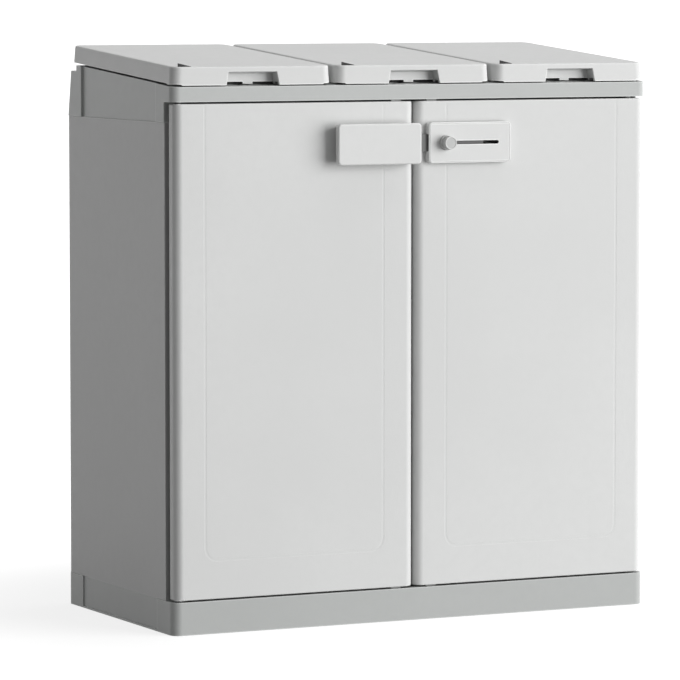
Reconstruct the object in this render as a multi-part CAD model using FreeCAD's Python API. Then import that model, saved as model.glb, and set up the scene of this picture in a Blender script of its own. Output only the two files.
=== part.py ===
import FreeCAD
import Part

import math
import os

# Outdoor cabinet for sorted waste, in millimetres.
# X runs to the right, Y runs to the back and Z runs up. The origin is on the floor, under
# the middle of the whole object. Two doors close the front, three lids close the top.

# Body
body_width = 930.0
body_depth = 470.0
base_corner = 16.0
frame_corner = 15.0

# Base tray
base_height = 57.5
base_wall = 5.0
base_side_wall = 9.0
base_deck = 4.0
base_rib = 3.0
base_rib_pitch = 92.0
base_rib_lift = 3.0
recess_front = 71.0
recess_back_margin = 70.0
recess_depth = 4.0
base_recess_depth = 2.0
recess_foot = 3.0

# Side and back panels
panel_thickness = 20.0
panel_skin = 3.5
panel_inset = 1.2
panel_front = 36.0
panel_rib = 3.0
panel_border = 20.0
panel_cell = 90.0
panel_back_round = 13.0
tongue_inset = 8.0
tongue_thickness = 8.0
tongue_length = 12.0
tongue_end = 22.0
groove_clearance = 0.3
strip_width = 44.0
strip_thickness = 4.0

# Top frame, whose top slopes down to the front
frame_front_height = 944.1
frame_rise = 33.4
frame_skirt_drop = 61.1
frame_rail_height = 26.1
frame_rail_depth = 34.0
frame_rail_plate = 3.0
frame_wall = 5.0
frame_side_wall = 9.0
frame_web_pitch = 150.0
frame_deck = 4.0
cheek_thickness = 3.0
ledge_drop = 13.5
ledge_depth = 49.4
back_lean = 13.5
finger_notch = 18.4

# Openings for the bags
opening_width = 244.0
opening_front = 48.0
opening_back_margin = 85.0
collar_wall = 4.0
collar_up = 10.0
collar_down = 22.0
bag_frame_clearance = 0.6
bag_frame_wall = 2.5
bag_frame_flange = 3.0
bag_frame_drop = 38.0
bag_frame_corner = 18.0
bag_lip_width = 112.0
bag_lip_thickness = 2.2
bag_lip_clearance = 0.3

# Lids
lid_inset = 2.3
lid_gap = 8.5
lid_air = 1.9
lid_side_rise = 1.8
lid_height = 31.9
lid_wall = 2.6
lid_corner = 17.0
lid_back_corner = 17.0
lid_draft = 1.6
lid_edge_round = 3.2
lid_back_margin = 20.5
lid_back_radius = 7.0
lid_back_lean = 3.0
lid_rib = 2.4
lid_rib_drop = 8.0
lid_rib_count = 4
lid_foot_size = 10.0
lid_foot_clearance = 0.3

# Finger recess in the front of each lid
grip_bottom_width = 100.0
grip_top_width = 90.0
grip_top_drop = 8.0
grip_ceiling_drop = 5.7
grip_depth = 23.0
grip_wall = 2.6
grip_slot = 3.8
grip_edge_round = 2.0
catch_width = 18.5

# Tag clip on the front left corner of each lid
tag_start = 13.0
tag_length = 24.0
tag_thickness = 2.4
tag_high = 6.0
tag_low = 0.5
tag_root = 2.0
tag_edge = 6.0

# Lid hinges
ear_spread = 200.0
ear_width = 10.0
ear_radius = 5.0
lid_pin_radius = 2.5
lid_pin_clearance = 0.08
hinge_cheek = 4.0
hinge_cheek_gap = 0.5
hinge_cheek_radius = 6.0
ear_notch_gap = 1.0
ear_notch_rise = 8.0

# Doors
door_bottom_gap = 2.7
door_top_gap = 3.0
door_depth = 25.0
door_gap = 2.0
door_inset = 5.0
door_hinge_corner = 14.0
door_free_corner = 16.0
door_wall = 3.0
door_edge_round = 2.5
door_pivot_radius = 4.0
door_pivot_clearance = 0.08
door_boss_radius = 8.5
door_boss_height = 34.0
door_pin_grip = 22.0
door_pin_seat = 12.0
door_collar_radius = 7.0
bead_margin = 61.0
bead_foot = 128.0
bead_width = 4.0
bead_depth = 0.12
bead_round = 22.0

# Door liners
liner_back = 28.0
liner_front = 12.0
liner_wall = 2.6
liner_hinge_side = 32.0
liner_free_side = 6.0
liner_end_gap = 5.0
liner_corner = 8.0
post_radius = 7.0
post_margin = 32.0

# Door catches
catch_offset = 34.7
catch_length = 19.0
catch_depth = 6.6
catch_front = 5.0
catch_clearance = 0.5
catch_seat = 9.0

# Handle on the left door
plate_width = 162.0
plate_height = 71.5
plate_drop = 37.6
plate_corner = 7.0
handle_edge_round = 3.0
handle_proud = 28.0
handle_wall = 4.0
handle_overhang = 0.4
handle_slab = 9.0
handle_inset = 8.0
handle_post = 5.5
handle_screw_air = 0.2
keeper_depth = 34.0
keeper_clearance = 1.6

# Lock on the right door
lock_left = 21.4
lock_proud = 13.0
lock_wall = 3.0
lock_edge_round = 1.6
slot_height = 6.4
slot_end = 159.6
slot_window_margin = 4.0
rim_groove_inset = 1.7
rim_groove_width = 0.9
rim_groove_depth = 0.8
bolt_height = 29.4
bolt_thickness = 5.2
bolt_corner = 2.0
bolt_tip = 0.4
bolt_end = 132.0
bolt_travel_in = 8.0
bolt_clearance = 0.4
bolt_depth = 4.2
guide_wall = 3.0
knob_x = 55.4
knob_radius = 13.1
knob_face_radius = 11.7
knob_length = 18.0
knob_rim = 5.0
knob_shank = 2.8
knob_air = 0.6
knob_seat = 4.0
knob_fit = 0.05

# Screws
screw_radius = 1.9
screw_hole_clearance = 0.1
screw_head_radius = 4.4
screw_head_room = 5.2
screw_head_height = 2.4
screw_drive = 1.3
screw_length = 10.0
screw_hole_spare = 1.0
side_screw_pitch = 140.0
strip_screw_pitch = 170.0

# Places worked out from the sizes above
half_width = body_width / 2
knob_reach = lock_proud + knob_length
y_front = (knob_reach - body_depth) / 2
y_back = y_front + body_depth
frame_back_height = frame_front_height + frame_rise
frame_skirt_bottom = frame_front_height - frame_skirt_drop
frame_rail_bottom = frame_front_height - frame_rail_height
ledge_height = frame_back_height - ledge_drop
recess_back = body_depth - recess_back_margin
opening_back = body_depth - opening_back_margin
slope = frame_rise / body_depth
door_bottom = base_height + door_bottom_gap
door_top = frame_rail_bottom - door_top_gap
plate_high = door_top - plate_drop
plate_low = plate_high - plate_height
lid_width = (body_width - 2 * lid_inset - 2 * lid_gap) / 3
lid_centres = [(lid_width + lid_gap) * step for step in (-1, 0, 1)]
lid_names = ["left", "middle", "right"]
lid_front_y = y_front + lid_inset
lid_back_y = y_back - lid_back_margin
hinge_y = lid_back_y - lid_back_radius
hinge_z = frame_front_height + slope * (hinge_y - y_front) + lid_air + lid_back_radius
panel_outer_x = half_width - panel_inset
panel_inner_x = panel_outer_x - panel_thickness
panel_outer_y = y_back - panel_inset
panel_inner_y = panel_outer_y - panel_thickness
panel_front_y = y_front + panel_front
tongue_outer_x = panel_outer_x - tongue_inset
tongue_inner_x = tongue_outer_x - tongue_thickness
tongue_outer_y = panel_outer_y - tongue_inset
tongue_inner_y = tongue_outer_y - tongue_thickness
tongue_back_y = panel_inner_y - tongue_end
door_outer_x = half_width - door_inset
pivot_x = door_outer_x - door_hinge_corner
pivot_y = y_front + door_hinge_corner
plate_middle = (plate_low + plate_high) / 2
bolt_front_y = y_front - lock_proud + lock_wall + bolt_depth
above_all = frame_back_height + 2 * lid_height
spare = 5.0


def point(x, y, z):
    return FreeCAD.Vector(x, y, z)


def box(x0, x1, y0, y1, z0, z1):
    corner = point(min(x0, x1), min(y0, y1), min(z0, z1))
    return Part.makeBox(abs(x1 - x0), abs(y1 - y0), abs(z1 - z0), corner)


def rod(x, y, z, radius, length, direction):
    return Part.makeCylinder(radius, length, point(x, y, z), point(*direction))


def prism(points, travel):
    outline = Part.makePolygon(points + [points[0]])
    return Part.Face(outline).extrude(travel)


def round_edges(shape, radius, wanted):
    edges = [edge for edge in shape.Edges if wanted(edge)]
    return shape.makeFillet(radius, edges)


def is_along(edge, axis):
    direction = edge.tangentAt(edge.FirstParameter)
    return abs(abs(direction.dot(point(*axis))) - 1) < 1e-6


def is_upright(edge):
    direction = edge.tangentAt(edge.FirstParameter)
    return abs(direction.z) > 0.9


def rounded_box(x0, x1, y0, y1, z0, z1, radius, axis=(0, 0, 1)):
    """A box whose four edges along the axis are rounded."""
    return round_edges(box(x0, x1, y0, y1, z0, z1), radius, lambda edge: is_along(edge, axis))


def top_height(y):
    return frame_front_height + slope * (y - y_front)


def sloped_block(x0, x1, y0, y1, low, high):
    """A block whose bottom and top run parallel to the frame's sloping top."""
    corners = [
        point(x0, y0, top_height(y0) + low),
        point(x0, y1, top_height(y1) + low),
        point(x0, y1, top_height(y1) + high),
        point(x0, y0, top_height(y0) + high),
    ]
    return prism(corners, point(x1 - x0, 0, 0))


def steps(low, high, pitch):
    """Evenly spaced places between two ends, no further apart than the pitch."""
    count = math.ceil((high - low) / pitch)
    return [low + (high - low) * index / count for index in range(1, count)]


def mirrored(shape):
    return shape.mirror(point(0, 0, 0), point(1, 0, 0))


def screw(x, y, z, direction):
    """A pan-head screw; the place is under its head, and it drives along the direction."""
    back = tuple(-part for part in direction)
    head = rod(x, y, z, screw_head_radius, screw_head_height, back)
    shank = rod(x, y, z, screw_radius, screw_length, direction)
    drive_depth = screw_head_height / 2
    start = [
        place + part * (screw_head_height - drive_depth)
        for place, part in zip((x, y, z), back)
    ]
    drive = rod(start[0], start[1], start[2], screw_drive, screw_head_height, back)
    return head.cut(drive).fuse(shank)


def screw_hole(x, y, z, direction):
    radius = screw_radius + screw_hole_clearance
    return rod(x, y, z, radius, screw_length + screw_hole_spare, direction)


def save(name, shape):
    solids = shape.Solids
    for solid in solids:
        if not solid.isValid() or solid.Volume <= 0:
            raise ValueError(name + " has a bad solid")
    result = solids[0] if len(solids) == 1 else Part.makeCompound(solids)
    result.exportStep("parts/" + name + ".step")


# Screw places shared by the panels and what they fasten to
side_screw_y = steps(panel_front_y, panel_inner_y, side_screw_pitch)
back_screw_x = [half_width * share for share in (0.25, 0.75)]
frame_screw_z = frame_skirt_bottom + tongue_length / 2
strip_screw_z = steps(base_height, frame_skirt_bottom, strip_screw_pitch)
strip_screw_x = strip_width / 4


# Base tray
def side_recess(side, depth, z0, z1):
    outer = side * (half_width + spare)
    inner = side * (half_width - depth)
    return box(outer, inner, y_front + recess_front, y_front + recess_back, z0, z1)


def base_grooves():
    low = base_height - tongue_length - groove_clearance
    cuts = []
    for side in (-1, 1):
        cuts.append(
            box(
                side * (tongue_outer_x + groove_clearance),
                side * (tongue_inner_x - groove_clearance),
                panel_front_y + spare - groove_clearance,
                tongue_back_y + groove_clearance,
                low,
                base_height + spare,
            )
        )
        cuts.append(
            box(
                side * (spare + strip_width / 2 - groove_clearance),
                side * (panel_inner_x - spare + groove_clearance),
                tongue_outer_y + groove_clearance,
                tongue_inner_y - groove_clearance,
                low,
                base_height + spare,
            )
        )
    return cuts


def groove_blocks():
    low = base_height - tongue_length - groove_clearance - base_deck
    margin = groove_clearance + cheek_thickness
    blocks = []
    for side in (-1, 1):
        blocks.append(
            box(
                side * (half_width - base_side_wall / 2),
                side * (tongue_inner_x - margin),
                panel_front_y,
                y_back - base_corner,
                low,
                base_height,
            )
        )
    blocks.append(
        box(
            -panel_inner_x,
            panel_inner_x,
            y_back - base_wall,
            tongue_inner_y - margin,
            low,
            base_height,
        )
    )
    return blocks


def make_base_tray():
    body = rounded_box(-half_width, half_width, y_front, y_back, 0, base_height, base_corner)
    inner_x = half_width - base_side_wall
    hollow = rounded_box(
        -inner_x,
        inner_x,
        y_front + base_wall,
        y_back - base_wall,
        -spare,
        base_height - base_deck,
        base_corner - base_side_wall,
    )
    shell = body.cut(hollow)
    additions = groove_blocks()
    for x in steps(-half_width, half_width, base_rib_pitch):
        additions.append(
            box(
                x - base_rib / 2,
                x + base_rib / 2,
                y_front + base_wall / 2,
                y_back - base_wall / 2,
                base_rib_lift,
                base_height - base_deck / 2,
            )
        )
    for y in steps(y_front, y_back, base_rib_pitch):
        additions.append(
            box(
                -half_width + base_wall / 2,
                half_width - base_wall / 2,
                y - base_rib / 2,
                y + base_rib / 2,
                base_rib_lift,
                base_height - base_deck / 2,
            )
        )
    for side in (-1, 1):
        seat = rod(side * pivot_x, pivot_y, 0, door_boss_radius, base_height, (0, 0, 1))
        additions.append(seat.common(body))
    cuts = base_grooves()
    for side in (-1, 1):
        cuts.append(side_recess(side, base_recess_depth, recess_foot, base_height + spare))
        cuts.append(
            rod(
                side * pivot_x,
                pivot_y,
                base_height - door_pin_seat,
                door_pivot_radius + door_pivot_clearance,
                door_pin_seat + spare,
                (0, 0, 1),
            )
        )
    for x, y, z, direction in base_screw_places():
        cuts.append(screw_hole(x, y, z, direction))
        cuts.append(rod(x, y, z, screw_head_room, screw_head_height + spare, (0, 0, -1)))
    return shell.fuse(additions).cut(cuts).removeSplitter()


def base_screw_places():
    height = base_height - tongue_length - groove_clearance - base_deck
    places = []
    for side in (-1, 1):
        tongue_x = side * (tongue_outer_x + tongue_inner_x) / 2
        places += [(tongue_x, y, height, (0, 0, 1)) for y in side_screw_y]
        tongue_y = (tongue_outer_y + tongue_inner_y) / 2
        places += [(side * x, tongue_y, height, (0, 0, 1)) for x in back_screw_x]
    return places


def frame_screw_places():
    cheek_x = tongue_inner_x - groove_clearance - cheek_thickness
    cheek_y = tongue_inner_y - groove_clearance - cheek_thickness
    places = []
    for side in (-1, 1):
        places += [(side * cheek_x, y, frame_screw_z, (side, 0, 0)) for y in side_screw_y]
        places += [(side * x, cheek_y, frame_screw_z, (0, 1, 0)) for x in back_screw_x]
    return places


def strip_screw_places():
    face = panel_inner_y - strip_thickness
    return [
        (side * strip_screw_x, face, z, (0, 1, 0)) for side in (-1, 1) for z in strip_screw_z
    ]


# Side and back panels: ribbed boards with a tongue along the bottom and the top
def pocket_spans(low, high):
    """Pairs of edges of the pockets between two borders."""
    inner_low = low + panel_border
    inner_high = high - panel_border
    lines = [inner_low - panel_rib / 2] + steps(inner_low, inner_high, panel_cell)
    lines.append(inner_high + panel_rib / 2)
    return [
        (first + panel_rib / 2, second - panel_rib / 2)
        for first, second in zip(lines, lines[1:])
    ]


def make_side_panel():
    outer = -panel_outer_x
    inner = -panel_inner_x
    board = box(outer, inner, panel_front_y, panel_outer_y, base_height, frame_skirt_bottom)
    board = round_edges(
        board,
        panel_back_round,
        lambda edge: is_along(edge, (0, 0, 1))
        and edge.CenterOfMass.x < outer + 1
        and edge.CenterOfMass.y > panel_outer_y - 1,
    )
    tongue = box(
        -tongue_outer_x,
        -tongue_inner_x,
        panel_front_y + spare,
        tongue_back_y,
        base_height - tongue_length,
        frame_skirt_bottom + tongue_length,
    )
    pockets = [
        box(inner + spare, outer + panel_skin, y0, y1, z0, z1)
        for y0, y1 in pocket_spans(panel_front_y, panel_inner_y)
        for z0, z1 in pocket_spans(base_height, frame_skirt_bottom)
    ]
    screws = [place for place in base_screw_places() + frame_screw_places() if place[0] < 0]
    return board.cut(pockets).fuse(tongue_ends(tongue)).cut([screw_hole(*s) for s in screws])


def tongue_ends(tongue):
    """The two ends of a tongue, with the length between them taken out."""
    ends = []
    for z0, z1 in (
        (base_height - tongue_length, base_height + panel_border),
        (frame_skirt_bottom - panel_border, frame_skirt_bottom + tongue_length),
    ):
        bounds = tongue.BoundBox
        ends.append(box(bounds.XMin, bounds.XMax, bounds.YMin, bounds.YMax, z0, z1))
    return ends


def make_back_panel():
    board = box(
        -panel_inner_x, 0, panel_inner_y, panel_outer_y, base_height, frame_skirt_bottom
    )
    tongue = box(
        -panel_inner_x + spare,
        -strip_width / 2 - spare,
        tongue_inner_y,
        tongue_outer_y,
        base_height - tongue_length,
        frame_skirt_bottom + tongue_length,
    )
    pockets = [
        box(x0, x1, panel_inner_y - spare, panel_outer_y - panel_skin, z0, z1)
        for x0, x1 in pocket_spans(-panel_inner_x, -strip_width / 4)
        for z0, z1 in pocket_spans(base_height, frame_skirt_bottom)
    ]
    screws = base_screw_places() + frame_screw_places() + strip_screw_places()
    holes = [screw_hole(*place) for place in screws if place[0] < 0]
    return board.cut(pockets).fuse(tongue_ends(tongue)).cut(holes)


def make_joint_strip():
    strip = box(
        -strip_width / 2,
        strip_width / 2,
        panel_inner_y - strip_thickness,
        panel_inner_y,
        base_height,
        frame_skirt_bottom,
    )
    return strip.cut([screw_hole(*place) for place in strip_screw_places()])


# Top frame
def back_face(z):
    """How far back the frame reaches at a height: it leans forwards from its lower edge."""
    lean = back_lean / (ledge_height - frame_skirt_bottom)
    return y_back - lean * (z - frame_skirt_bottom)


def frame_blank():
    """The frame's outer shape, with its sloping top, its back ledge and its leaning back."""
    corners = [
        point(-half_width, y_front, frame_skirt_bottom),
        point(-half_width, y_back, frame_skirt_bottom),
        point(-half_width, back_face(above_all), above_all),
        point(-half_width, y_front, above_all),
    ]
    rim = prism(corners, point(body_width, 0, 0))
    rim = round_edges(rim, frame_corner, is_upright)
    over_doors = box(
        -half_width,
        half_width,
        y_front - spare,
        panel_front_y,
        frame_skirt_bottom - spare,
        frame_rail_bottom,
    )
    above_slope = sloped_block(
        -half_width - spare,
        half_width + spare,
        y_front - spare,
        y_back + spare,
        0,
        above_all,
    )
    ledge = box(
        -half_width,
        half_width,
        y_back - ledge_depth,
        y_back + spare,
        ledge_height,
        above_all,
    )
    return rim.cut([over_doors, above_slope, ledge])


def frame_hollows():
    inner_x = half_width - frame_side_wall
    step = y_back - ledge_depth - frame_wall
    rail_back = y_front + frame_rail_depth
    rail_low = frame_rail_bottom + frame_rail_plate
    low = frame_skirt_bottom - spare
    high = ledge_height - frame_deck
    under_deck = sloped_block(-inner_x, inner_x, y_front, y_back, -above_all, -frame_deck)
    main = under_deck.common(box(-inner_x, inner_x, rail_back, step, low, above_all))
    rail_room = box(-inner_x, inner_x, y_front + frame_wall, rail_back, rail_low, above_all)
    rail = under_deck.common(rail_room)
    corners = [
        point(-inner_x, step, low),
        point(-inner_x, back_face(low) - frame_wall, low),
        point(-inner_x, back_face(high) - frame_wall, high),
        point(-inner_x, step, high),
    ]
    rear = prism(corners, point(2 * inner_x, 0, 0))
    return [main, rail, rear]


def frame_cheeks():
    """Inner walls that hold the panels' tongues against the skirt."""
    outer_x = tongue_inner_x - groove_clearance
    outer_y = tongue_inner_y - groove_clearance
    cheeks = []
    for side in (-1, 1):
        cheeks.append(
            box(
                side * outer_x,
                side * (outer_x - cheek_thickness),
                panel_front_y,
                outer_y,
                frame_skirt_bottom,
                frame_rail_bottom + spare,
            )
        )
    cheeks.append(
        box(
            -outer_x,
            outer_x,
            outer_y - cheek_thickness,
            outer_y,
            frame_skirt_bottom,
            ledge_height - frame_deck / 2,
        )
    )
    webs = []
    for side in (-1, 1):
        for y in [panel_front_y + panel_rib / 2] + side_screw_y:
            webs.append(
                box(
                    side * (half_width - frame_side_wall + spare / 5),
                    side * (outer_x - cheek_thickness),
                    y - panel_rib / 2,
                    y + panel_rib / 2,
                    frame_skirt_bottom + tongue_length + groove_clearance,
                    top_height(y) - frame_deck / 2,
                )
            )
    for x in steps(-outer_x, outer_x, frame_web_pitch):
        webs.append(
            box(
                x - panel_rib / 2,
                x + panel_rib / 2,
                outer_y - cheek_thickness,
                y_back - frame_wall / 2,
                frame_skirt_bottom + tongue_length + groove_clearance,
                ledge_height - frame_deck / 2,
            )
        )
    return cheeks + webs


def opening_block(centre, grow, low, high):
    half = opening_width / 2 + grow
    return sloped_block(
        centre - half,
        centre + half,
        y_front + opening_front - grow,
        y_front + opening_back + grow,
        low,
        high,
    )


def hinge_ear(x):
    left = x - ear_width / 2
    eye = rod(left, hinge_y, hinge_z, ear_radius, ear_width, (1, 0, 0))
    stem = box(
        left,
        left + ear_width,
        hinge_y - ear_radius,
        hinge_y + ear_radius,
        ledge_height - frame_deck / 2,
        hinge_z,
    )
    return eye.fuse(stem)


def ear_places():
    return [
        centre + side * ear_spread / 2 for centre in lid_centres for side in (-1, 1)
    ]


def make_top_frame():
    blank = frame_blank()
    shell = blank.cut(frame_hollows())
    additions = [piece.common(blank) for piece in frame_cheeks()]
    additions += [hinge_ear(x) for x in ear_places()]
    for centre in lid_centres:
        additions.append(opening_block(centre, collar_wall, -collar_down, collar_up))
    for side in (-1, 1):
        seat = rod(
            side * pivot_x,
            pivot_y,
            frame_rail_bottom,
            door_boss_radius,
            top_height(pivot_y) - frame_deck / 2 - frame_rail_bottom,
            (0, 0, 1),
        )
        additions.append(seat)
    cuts = [opening_block(centre, 0, -2 * collar_down, 2 * collar_up) for centre in lid_centres]
    for centre in lid_centres:
        cuts += grip_notches(centre, finger_notch, -2 * frame_deck, lid_air)
    bore = lid_pin_radius + lid_pin_clearance
    for x in ear_places():
        cuts.append(rod(x - ear_width, hinge_y, hinge_z, bore, 2 * ear_width, (1, 0, 0)))
    for side in (-1, 1):
        low = frame_skirt_bottom - spare
        cuts.append(side_recess(side, recess_depth, low, above_all))
        cuts.append(
            rod(
                side * pivot_x,
                pivot_y,
                frame_rail_bottom - spare,
                door_pivot_radius + door_pivot_clearance,
                door_pin_seat + spare,
                (0, 0, 1),
            )
        )
    cuts += [screw_hole(*place) for place in frame_screw_places()]
    return shell.fuse(additions).cut(cuts).removeSplitter()


# Frames that hold the bags, hung on the collars of the three openings
def make_bag_frame(centre):
    half = opening_width / 2
    front = y_front + opening_front
    back = y_front + opening_back
    flange = sloped_block(
        centre - half - collar_wall,
        centre + half + collar_wall,
        front - collar_wall,
        back + collar_wall,
        collar_up,
        collar_up + bag_frame_flange,
    )
    flange = flange.common(
        rounded_box(
            centre - half - collar_wall,
            centre + half + collar_wall,
            front - collar_wall,
            back + collar_wall,
            0,
            above_all,
            collar_wall,
        )
    )
    lip_back = front - collar_wall - bag_lip_clearance
    lip = sloped_block(
        centre - bag_lip_width / 2,
        centre + bag_lip_width / 2,
        lip_back - bag_lip_thickness,
        lip_back,
        bag_lip_clearance,
        collar_up + bag_frame_flange,
    )
    lip_top = sloped_block(
        centre - bag_lip_width / 2,
        centre + bag_lip_width / 2,
        lip_back - bag_lip_thickness,
        front - collar_wall / 2,
        collar_up,
        collar_up + bag_frame_flange,
    )
    gap = bag_frame_clearance
    skirt_plan = rounded_box(
        centre - half + gap,
        centre + half - gap,
        front + gap,
        back - gap,
        0,
        above_all,
        bag_frame_corner,
    )
    skirt = skirt_plan.common(
        sloped_block(
            centre - half, centre + half, front, back, collar_up - bag_frame_drop, collar_up
        )
    )
    wall = gap + bag_frame_wall
    mouth = rounded_box(
        centre - half + wall,
        centre + half - wall,
        front + wall,
        back - wall,
        0,
        above_all,
        bag_frame_corner - bag_frame_wall,
    )
    return flange.fuse([skirt, lip, lip_top]).cut(mouth).removeSplitter()


# Lids
def back_line(shrink, height):
    """A point on the lid's leaning back, at a height above its hinge."""
    angle = math.atan2(lid_back_lean, lid_height)
    radius = lid_back_radius - shrink
    start_y = hinge_y + radius * math.cos(angle)
    start_z = hinge_z + radius * math.sin(angle)
    travel = (hinge_z + height - start_z) / math.cos(angle)
    return start_y - travel * math.sin(angle), start_z + travel * math.cos(angle)


def lid_profile(x0, x1, shrink, below):
    """The lid's bottom, its rounded lower back edge and its top, drawn across X."""
    radius = lid_back_radius - shrink
    top = lid_air + lid_height - shrink
    angle = math.atan2(lid_back_lean, lid_height)
    front = lid_front_y - spare
    middle = angle / 2 - math.pi / 4
    arc_start = point(x0, hinge_y, hinge_z - radius)
    arc_middle = point(
        x0, hinge_y + radius * math.cos(middle), hinge_z + radius * math.sin(middle)
    )
    arc_end = point(x0, *back_line(shrink, radius * math.sin(angle)))
    drop = top_height(arc_end.y) + top - arc_end.z
    rise = drop / (1 + slope * math.tan(angle))
    back_top = point(x0, *back_line(shrink, arc_end.z + rise - hinge_z))
    corners = [
        arc_end,
        back_top,
        point(x0, front, top_height(front) + top),
        point(x0, front, top_height(front) + lid_air - below),
        point(x0, hinge_y, top_height(hinge_y) + lid_air - below),
    ]
    if below:
        corners.append(arc_start)
    edges = [Part.makeLine(first, second) for first, second in zip(corners, corners[1:])]
    edges.append(Part.Arc(arc_start, arc_middle, arc_end).toShape())
    return Part.Face(Part.Wire(edges)).extrude(point(x1 - x0, 0, 0))


def grip_block(centre, grow, low):
    """The finger recess: slanting sides, a ceiling that falls to the back, an upright back."""
    front = lid_front_y - spare + grow
    back = lid_front_y + grip_depth + grow
    ceiling = lid_air + lid_height - grip_top_drop + grow
    profile = [
        point(centre - body_width, front, top_height(lid_front_y) + low),
        point(centre - body_width, back, top_height(lid_front_y) + low),
        point(centre - body_width, back, top_height(back) + ceiling - grip_ceiling_drop),
        point(centre - body_width, front, top_height(front) + ceiling),
    ]
    across = prism(profile, point(2 * body_width, 0, 0))
    foot = top_height(lid_front_y) - lid_height
    head = top_height(lid_front_y) + ceiling
    rise = head - top_height(lid_front_y)
    flare = (grip_bottom_width - grip_top_width) / 2 * lid_height / rise
    bottom_half = grip_bottom_width / 2 + grow + flare
    top_half = grip_top_width / 2 + grow
    sides = [
        point(centre - bottom_half, front - spare, foot),
        point(centre + bottom_half, front - spare, foot),
        point(centre + top_half, front - spare, head),
        point(centre - top_half, front - spare, head),
    ]
    return across.common(prism(sides, point(0, back - front + 2 * spare, 0)))


def grip_side_slots(centre):
    """Two cuts at the foot of the finger recess, through its side walls."""
    front = lid_front_y + lid_wall + lid_draft
    back = lid_front_y + grip_depth
    foot = top_height(back)
    edge = grip_bottom_width / 2
    return [
        box(
            centre + side * (edge - grip_wall),
            centre + side * (edge + 2 * grip_wall),
            front,
            back,
            foot - spare,
            foot + lid_air + grip_slot,
        )
        for side in (-1, 1)
    ]


def round_grip_mouth(shell, centre):
    """Rounds the edges where the finger recess opens in the lid's front."""
    low = top_height(lid_front_y) + lid_air + 1
    high = top_height(lid_front_y) + lid_air + lid_height - grip_top_drop + 1
    return round_edges(
        shell,
        grip_edge_round,
        lambda edge: abs(edge.CenterOfMass.x - centre) < grip_bottom_width / 2 + 1
        and edge.CenterOfMass.y < lid_front_y + lid_wall / 2
        and low < edge.CenterOfMass.z < high,
    )


def grip_notches(centre, depth, low, high):
    """Two cuts at the foot of the finger recess, one on each side of its middle."""
    near = lid_front_y + grip_depth - 1
    base = top_height(near)
    return [
        box(
            centre + side * catch_width / 2,
            centre + side * grip_bottom_width / 2,
            near,
            near + depth,
            base + low,
            base + high,
        )
        for side in (-1, 1)
    ]


def lid_ribs(left, right):
    top = lid_air + lid_height - lid_wall / 2
    low = lid_air + lid_height - lid_wall - lid_rib_drop
    front = lid_front_y + grip_depth + grip_wall
    back = hinge_y - lid_back_radius
    ribs = []
    for x in steps(left, right, (right - left) / lid_rib_count):
        ribs.append(sloped_block(x - lid_rib / 2, x + lid_rib / 2, front, back, low, top))
    for y in steps(front, back, (back - front) / lid_rib_count):
        ribs.append(
            sloped_block(
                left + lid_wall / 2,
                right - lid_wall / 2,
                y - lid_rib / 2,
                y + lid_rib / 2,
                low,
                top,
            )
        )
    return ribs


def hinge_cheeks(ear_x):
    """The two bearing plates inside the lid, one on each side of a hinge ear."""
    plates = []
    for side in (-1, 1):
        near = ear_x + side * (ear_width / 2 + hinge_cheek_gap)
        start = min(near, near + side * hinge_cheek)
        eye = rod(start, hinge_y, hinge_z, hinge_cheek_radius, hinge_cheek, (1, 0, 0))
        web = box(
            start,
            start + hinge_cheek,
            hinge_y - 2 * hinge_cheek_radius,
            hinge_y + hinge_cheek_radius / 2,
            hinge_z,
            above_all,
        )
        plates += [eye, web]
    return plates


def lid_feet(left, right):
    """Blocks in the front corners that carry the closed lid on the frame."""
    feet = []
    front = lid_front_y + lid_wall / 2
    for x in (left + lid_wall / 2, right - lid_wall / 2 - lid_foot_size):
        feet.append(
            sloped_block(
                x,
                x + lid_foot_size,
                front + lid_corner,
                front + lid_corner + lid_foot_size,
                lid_foot_clearance,
                lid_air + lid_height - lid_wall / 2,
            )
        )
    return feet


def tag_block(left):
    """A small wedge behind the front edge, high at the corner and low at its other end."""
    start = left + tag_start
    front = lid_front_y + tag_edge
    top = top_height(front) + lid_air + lid_height
    corners = [
        point(start, front, top - tag_root),
        point(start + tag_length, front, top - tag_root),
        point(start + tag_length, front, top + tag_low),
        point(start, front, top + tag_high),
    ]
    return prism(corners, point(0, tag_thickness, 0))


def lid_plan(left, right, shrink):
    """The lid's sides, front and back, which lean inwards, with rounded corners."""
    full = lid_air + lid_height
    low = -2 * spare
    high = 2 * full
    front = lid_front_y - spare
    x_low = shrink + lid_draft * low / full
    x_high = shrink + lid_draft * high / full
    section = [
        point(left + x_low, front, top_height(front) + low),
        point(right - x_low, front, top_height(front) + low),
        point(right - x_high, front, top_height(front) + high),
        point(left + x_high, front, top_height(front) + high),
    ]
    length = lid_back_y + spare - front
    sides = prism(section, point(0, length, slope * length))
    base = top_height(lid_front_y)
    start = left - spare
    ends = [
        point(start, lid_front_y + x_low, base + low),
        point(start, *back_line(shrink, base + low - hinge_z)),
        point(start, *back_line(shrink, base + high - hinge_z)),
        point(start, lid_front_y + x_high, base + high),
    ]
    block = sides.common(prism(ends, point(lid_width + 2 * spare, 0, 0)))
    middle = (lid_front_y + lid_back_y) / 2
    corners = (
        (lid_corner - shrink, lambda edge: edge.CenterOfMass.y < middle),
        (lid_back_corner - shrink, lambda edge: edge.CenterOfMass.y > middle),
    )
    for radius, wanted in corners:
        block = round_edges(block, radius, lambda edge: is_corner(edge, wanted))
    return block


def is_corner(edge, wanted):
    return is_upright(edge) and edge.Curve.TypeId == "Part::GeomLine" and wanted(edge)


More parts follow.
